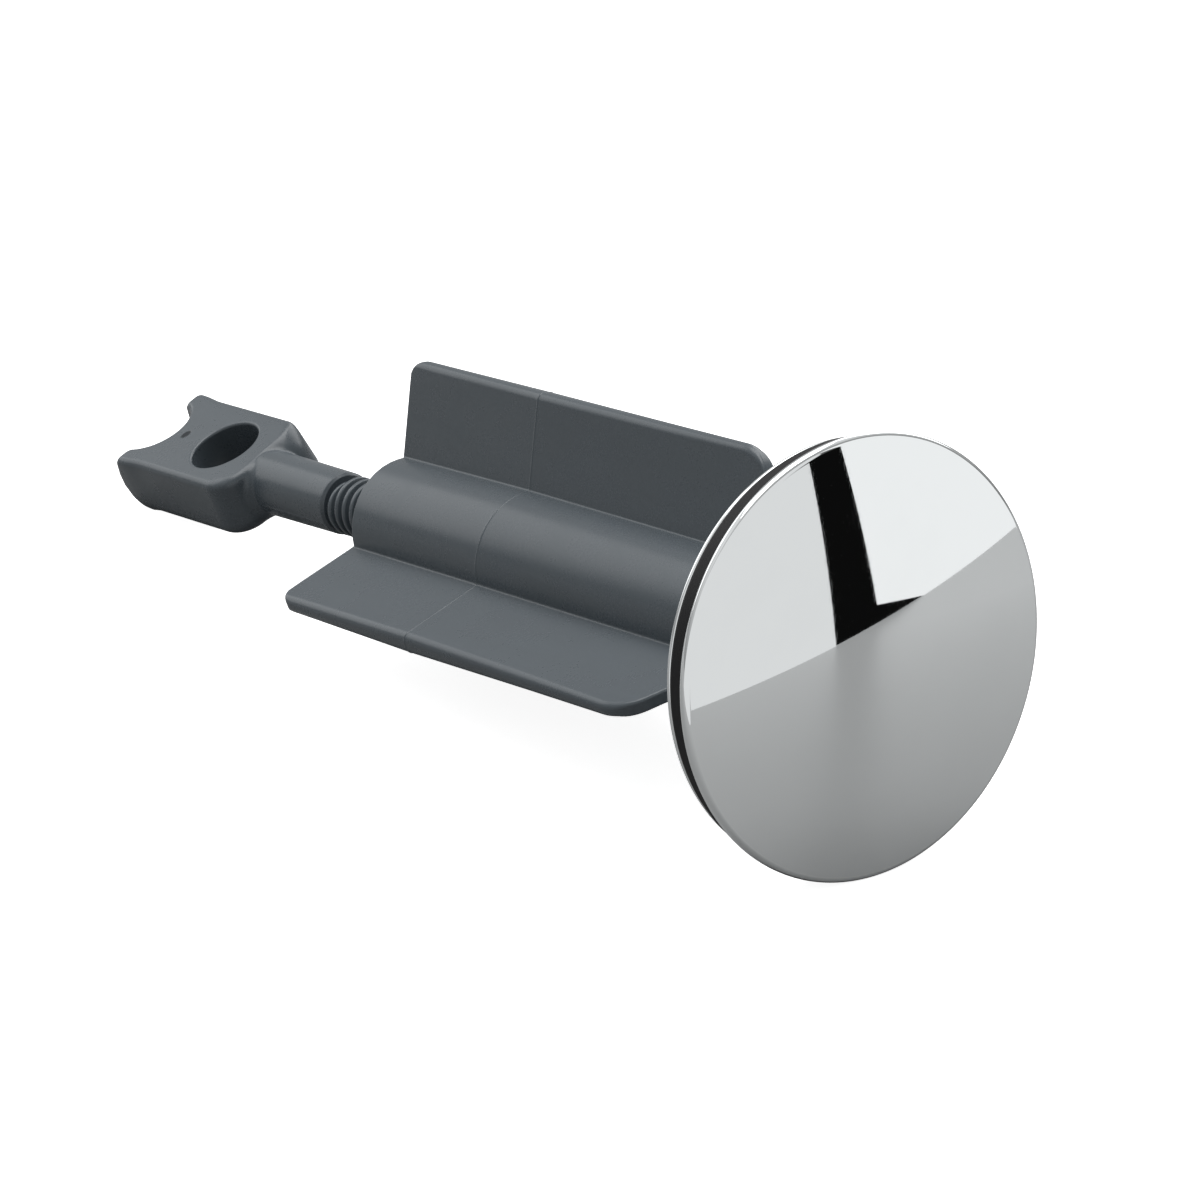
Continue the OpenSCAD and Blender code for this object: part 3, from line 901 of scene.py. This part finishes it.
def rubber(c):
    """Black rubber: nearly matt, with fine grain and a trace of grey dust."""
    m, w, shader, own = start_material("Black rubber")
    grain = w.shared("Fine grain", grain_group, {"Vector": own, "Grain size": 5.0})
    dust = w.span(w.noise(own, 0.5, 6.0, 0.7), 0.55, 0.8, 0.0, 0.5)
    dusty = w.mix(dust, rgba(c.rubber), rgba([v * 2.2 for v in c.rubber]))
    rough = w.more(c.satin, grain["Rough"], 0.3)
    relief = w.bump(grain["Height"], 0.5, 8e-6)
    w.feed(shader, {"Base Color": dusty, "Roughness": rough, "Normal": relief})
    w.feed(shader, {"Specular IOR Level": 0.25})
    return m


def moulded(name, c, scar=None):
    """Satin grey moulded plastic: fine grain, clouds of flow along the axis, faint hairlines that
    catch the light, and a mould gate's dark scar where one is given as (place, size)."""
    m, w, shader, own = start_material(name)
    grain = w.shared("Fine grain", grain_group, {"Vector": own})
    marks = w.shared("Handling marks", handling_group, {"Vector": own, "Smudge size": 0.17})
    stretched = w.add("ShaderNodeMapping", {"Vector": own, "Scale": (0.5, 0.5, 0.06)}).outputs[0]
    streak = w.span(w.noise(stretched, 1.0, 4.0), 0.3, 0.7, -0.5, 0.5)
    shade = w.more(w.more(grain["Shade"], streak, c.flow), marks["Scratch"], 0.05)
    height = w.more(grain["Height"], marks["Scratch"], -0.5)
    if scar:
        where = {"Vector": own, "Location": scar[0], "Scale": scar[1]}
        spot = w.add("ShaderNodeMapping", where, vector_type="TEXTURE").outputs[0]
        far = w.add("ShaderNodeVectorMath", {0: spot}, operation="LENGTH").outputs["Value"]
        mark = w.span(w.more(far, w.noise(own, 3.0, 2.0), 0.5), 0.95, 1.3, 1.0, 0.0)
        shade, height = w.more(shade, mark, -0.7), w.more(height, mark, -30.0)
        w.feed(shader, {"Specular IOR Level": w.span(mark, 0.0, 1.0, 0.5, 0.1)})
    base = w.add("ShaderNodeVectorMath", {0: tuple(c.plastic), "Scale": shade}, operation="SCALE")
    rough = w.more(w.more(c.satin, grain["Rough"], 0.1), marks["Smudge"], 0.05)
    relief = w.bump(height, 0.5, 2.5e-6)
    w.feed(shader, {"Base Color": base.outputs[0], "Roughness": rough, "Normal": relief})
    return m


# The stage


def stage_sheet(name, points, material):
    """A sheet of the stage from a square grid of points in metres."""
    n = len(points)
    mesh = bpy.data.meshes.new(name)
    mesh.from_pydata(points.reshape(-1, 3).tolist(), [], grid_faces(n, n, around=False).tolist())
    mesh.materials.append(material)
    o = bpy.data.objects.new(name, mesh)
    bpy.context.scene.collection.objects.link(o)
    return o


def stage_material(name):
    """An empty material, its wires and the socket that its shader goes to."""
    m = bpy.data.materials.new(name)
    m.use_nodes = True
    m.node_tree.nodes.clear()
    w = Wires(m.node_tree)
    return m, w, w.add("ShaderNodeOutputMaterial").inputs[0]


def card(name, corners, strength):
    """A flat reflector card between four corners in millimetres, given round it: the points are
    the corners weighted by u and v. Only reflections see it."""
    u, v = np.meshgrid(np.linspace(0, 1, 4), np.linspace(0, 1, 4))
    a, b, d, e = np.array(corners)[:, None, None] / 1000
    u, v = u[..., None], v[..., None]
    points = (a * (1 - u) + b * u) * (1 - v) + (e * (1 - u) + d * u) * v
    m, w, out = stage_material(name)
    w.tree.links.new(w.add("ShaderNodeEmission", {"Strength": strength}).outputs[0], out)
    m.cycles.emission_sampling = "NONE"
    o = stage_sheet(name, points, m)
    o.visible_camera = o.visible_diffuse = o.visible_shadow = False


def soft_light(name, place_at, target, size, watts):
    data = bpy.data.lights.new(name, "AREA")
    data.shape, data.size, data.size_y, data.energy = "RECTANGLE", size[0], size[1], watts
    o = bpy.data.objects.new(name, data)
    bpy.context.scene.collection.objects.link(o)
    o.location = place_at
    o.rotation_euler = (Vector(target) - Vector(place_at)).to_track_quat("-Z", "Y").to_euler()


def pale_floor(s):
    """The floor, just below the stopper. The camera sees it overexposed, as a white sweep is, and
    everything else sees it grey, with painted shade: darker near the stopper, for the stopper's shadow."""
    u = np.linspace(-0.5, 0.5, 9) * s.floor / 1000
    x, y = np.meshgrid(u, u)
    m, w, out = stage_material("Pale floor")
    place_at = w.add("ShaderNodeTexCoord").outputs["Object"]
    cloud = w.noise(place_at, 6.0, 2.0)
    seen = w.add("ShaderNodeLightPath").outputs["Is Camera Ray"]
    out_from = w.add("ShaderNodeVectorMath", {0: place_at}, operation="LENGTH").outputs["Value"]
    # Painted shade: the grey that reflections and bounce light see is 0.6 times as bright within 6 cm of
    # the floor's middle, rising to full tone at 19 cm, for the stopper's shadow on the floor
    near, far = rgba([s.floor_tone * 0.6] * 3), rgba([s.floor_tone] * 3)
    grey = w.mix(w.span(out_from, 0.06, 0.19, 0.0, 1.0), near, far)
    tone = w.mix(seen, grey, rgba([s.floor_seen] * 3))
    tone = w.mix(w.span(cloud, 0.3, 0.7, 0.0, 0.04), tone, rgba([0.8] * 3))
    look = {"Base Color": tone, "Roughness": 0.42, "Emission Color": rgba([1.0] * 3)}
    look["Emission Strength"] = w.math("MULTIPLY", seen, s.floor_glow)
    w.tree.links.new(w.add("ShaderNodeBsdfPrincipled", look).outputs[0], out)
    stage_sheet("floor", np.stack([x, y, 0 * x - 0.00002], -1), m)


def surround(s):
    """White to the camera. For the rest it grows brighter from the horizon up, and is darker on
    the cap's side."""
    world = bpy.data.worlds.new("Studio surround")
    bpy.context.scene.world = world
    world.use_nodes = True
    w = Wires(world.node_tree)
    seen = w.add("ShaderNodeLightPath").outputs["Is Camera Ray"]
    back = world.node_tree.nodes["Background"]
    back.inputs["Color"].default_value = (1, 1, 1, 1)
    way = w.add("ShaderNodeSeparateXYZ", {0: w.add("ShaderNodeTexCoord").outputs["Generated"]})
    dome = w.span(way.outputs[2], 0.0, 0.8, s.sky * s.low_sky, s.sky)
    dome = w.math("MULTIPLY", dome, w.span(way.outputs[0], 0.0, 0.7, 1.0, s.dark_side))
    strength = w.math("ADD", seen, w.math("MULTIPLY", w.math("SUBTRACT", 1.0, seen), dome))
    w.tree.links.new(strength, back.inputs["Strength"])


def photo_camera(s):
    """The camera stands where the photograph was taken from, in the stopper's own directions."""
    scene = bpy.context.scene
    data = bpy.data.cameras.new("camera")
    data.sensor_width, data.lens = 36, s.lens
    data.clip_start, data.clip_end = 0.01, 20
    camera = bpy.data.objects.new("camera", data)
    scene.collection.objects.link(camera)
    pose = np.eye(4)
    pose[:3, :3] = LAY.T @ np.array(Euler(s.camera_turn).to_matrix())
    pose[:3, 3] = place(s.camera_at)[0]
    camera.matrix_world = Matrix(pose.tolist())
    scene.camera = camera
    scene.view_settings.view_transform = "Standard"


def build_stage(s):
    pale_floor(s)
    surround(s)
    soft_light("overhead", (-0.2, 0.05, 0.9), (0, 0, 0), (0.8, 0.8), s.light)
    card("side_glow", [(-420, -300, 60), (-560, 60, 60), (-480, 50, 380), (-340, -270, 380)], 1.6)
    card("back_glow", [(-330, 330, 180), (20, 520, 180), (20, 480, 560), (-330, 290, 560)], 2.6)

    # What the cap mirrors: the end of the floor, and two white cards with a dark gap between them
    card("left_card", [(80, -200, 0), (172.5, 78.5, 0), (168.2, 65.6, 150), (80, -200, 150)], 0.8)
    card("right_card", [(179.3, 98.9, 4.4), (279.7, 400, -44), (279.7, 400, 150), (168.1, 64.9, 150)], 0.98)
    card("dark_gap", [(160.4, 40, 0), (194.4, 142, 0), (194.4, 142, 46), (160.4, 40, 46)], 0.004)
    photo_camera(s)


# Operators and panel


class OBJECT_OT_stopper_cap(bpy.types.Operator):
    """Turn the chrome cap"""

    bl_idname = "object.stopper_cap"
    bl_label = "Chrome cap"
    sizes = "stopper_cap"

    def execute(self, context):
        c = InMillimetres(context.scene.stopper_cap)
        points = turned(cap_profile(c), full_turn(c.segments))
        grid = (points, grid_faces(*points.shape[:2]))
        make_piece("turned_cap", [grid], chrome(c), "plug", "cap")
        return {"FINISHED"}


class OBJECT_OT_stopper_seal(bpy.types.Operator):
    """Mould the rubber seal"""

    bl_idname = "object.stopper_seal"
    bl_label = "Rubber seal"
    sizes = "stopper_seal"

    def execute(self, context):
        c = InMillimetres(context.scene.stopper_seal)
        points = turned(seal_profile(c), full_turn(c.segments))
        grid = (points, grid_faces(*points.shape[:2], closed=True))
        make_piece("rubber_seal", [grid], rubber(c), "seal", "seal_ring")
        return {"FINISHED"}


class OBJECT_OT_stopper_fin_body(bpy.types.Operator):
    """Mould the tube with its three fins"""

    bl_idname = "object.stopper_fin_body"
    bl_label = "Fin body"
    sizes = "stopper_body"

    def execute(self, context):
        c = InMillimetres(context.scene.stopper_body)
        points = fin_body_rows(c)
        grid = (points, grid_faces(*points.shape[:2]))
        material = moulded("Grey plastic of the fin body", c)
        make_piece("moulded_fin_body", [grid], material, "plug", "fin_body")
        return {"FINISHED"}


class OBJECT_OT_stopper_stem(bpy.types.Operator):
    """Mould the screw stem with its eye and cut its thread"""

    bl_idname = "object.stopper_stem"
    bl_label = "Screw stem"
    sizes = "stopper_stem"

    def execute(self, context):
        c = InMillimetres(context.scene.stopper_stem)
        gate = tuple(from_eye([-0.1, OPEN_END - c.gate, c.eye_thickness / 2])[0])
        material = moulded("Grey plastic of the stem", c, (gate, (0.8, 0.6, 0.5)))
        make_piece("screw_stem", stem_grids(c), material, "stem", "adjusting_stem")
        return {"FINISHED"}


class OBJECT_OT_stopper_stage(bpy.types.Operator):
    """Set up the floor, the surround, the cards, the light and the camera"""

    bl_idname = "object.stopper_stage"
    bl_label = "Stage"
    sizes = "stopper_stage"

    def execute(self, context):
        build_stage(InMillimetres(context.scene.stopper_stage))
        return {"FINISHED"}


class VIEW3D_PT_stopper(bpy.types.Panel):
    """Lists the stopper's pieces and their sizes"""

    bl_label = "Stopper"
    bl_idname = "VIEW3D_PT_stopper"
    bl_space_type = "VIEW_3D"
    bl_region_type = "UI"
    bl_category = "Stopper"

    def draw(self, context):
        for step in STEPS:
            box = self.layout.box()
            box.operator(step.bl_idname)
            sizes = getattr(context.scene, step.sizes)
            for key in sizes.bl_rna.properties.keys():
                if key not in ("rna_type", "name"):
                    box.prop(sizes, key)


STEPS = [
    OBJECT_OT_stopper_cap,
    OBJECT_OT_stopper_seal,
    OBJECT_OT_stopper_fin_body,
    OBJECT_OT_stopper_stem,
    OBJECT_OT_stopper_stage,
]
GROUPS = {
    "stopper_cap": StopperCapSizes,
    "stopper_seal": StopperSealSizes,
    "stopper_body": StopperBodySizes,
    "stopper_stem": StopperStemSizes,
    "stopper_stage": StopperStageSizes,
}
CLASSES = [*GROUPS.values(), *STEPS, VIEW3D_PT_stopper]


def register():
    for cls in CLASSES:
        bpy.utils.register_class(cls)
    for name, cls in GROUPS.items():
        setattr(bpy.types.Scene, name, PointerProperty(type=cls))


def unregister():
    for name in GROUPS:
        delattr(bpy.types.Scene, name)
    for cls in reversed(CLASSES):
        bpy.utils.unregister_class(cls)


def main():
    register()
    bpy.ops.object.stopper_cap()
    bpy.ops.object.stopper_seal()
    bpy.ops.object.stopper_fin_body()
    bpy.ops.object.stopper_stem()
    bpy.ops.object.stopper_stage()


if __name__ == "__main__":
    main()
